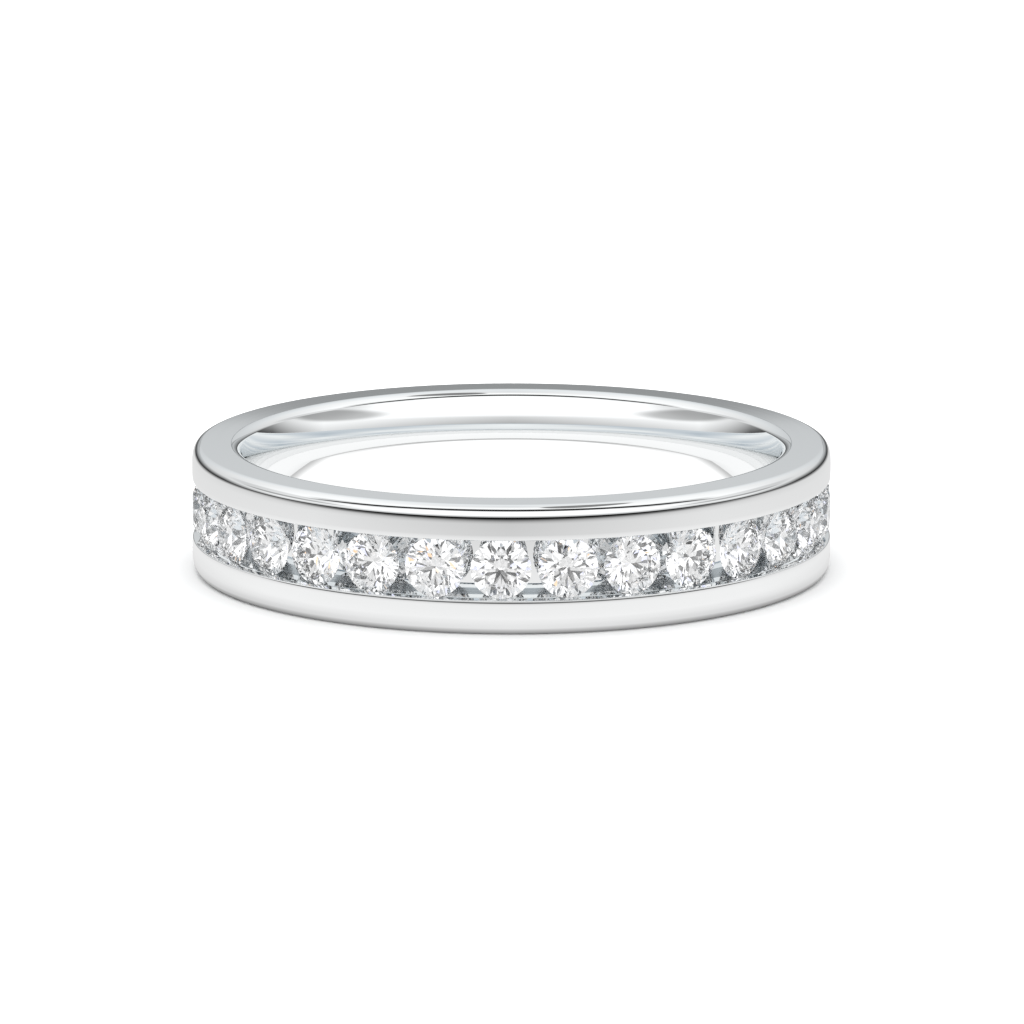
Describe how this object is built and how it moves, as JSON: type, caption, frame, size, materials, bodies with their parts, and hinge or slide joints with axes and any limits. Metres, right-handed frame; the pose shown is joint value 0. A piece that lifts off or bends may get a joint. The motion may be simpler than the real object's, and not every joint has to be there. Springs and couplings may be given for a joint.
{
  "type": "channel set band ring",
  "caption": "Ring with an even band, its outer face a row of round brilliant stones held in a channel between two polished rails.",
  "frame": {"origin": "centre of the ring on the plane of its lower face, on which it lies", "axes": "+Z along the axis of the ring, square to its two flat faces; -Y towards the viewer of the picture"},
  "size_m": [0.0202, 0.0202, 0.004],
  "materials": {
    "polished_white_gold": "mirror polish",
    "brilliant": "cut and polished"
  },
  "bodies": {
    "root": {"band": "polished_white_gold", "stone_01": "brilliant", "stone_02": "brilliant", "stone_03": "brilliant", "stone_04": "brilliant", "stone_05": "brilliant", "stone_06": "brilliant", "stone_07": "brilliant", "stone_08": "brilliant", "stone_09": "brilliant", "stone_10": "brilliant", "stone_11": "brilliant", "stone_12": "brilliant", "stone_13": "brilliant", "stone_14": "brilliant", "stone_15": "brilliant", "stone_16": "brilliant", "stone_17": "brilliant", "stone_18": "brilliant", "stone_19": "brilliant", "stone_20": "brilliant", "stone_21": "brilliant", "stone_22": "brilliant", "stone_23": "brilliant", "stone_24": "brilliant", "stone_25": "brilliant", "stone_26": "brilliant", "stone_27": "brilliant", "stone_28": "brilliant", "stone_29": "brilliant", "stone_30": "brilliant"}
  },
  "joints": []
}
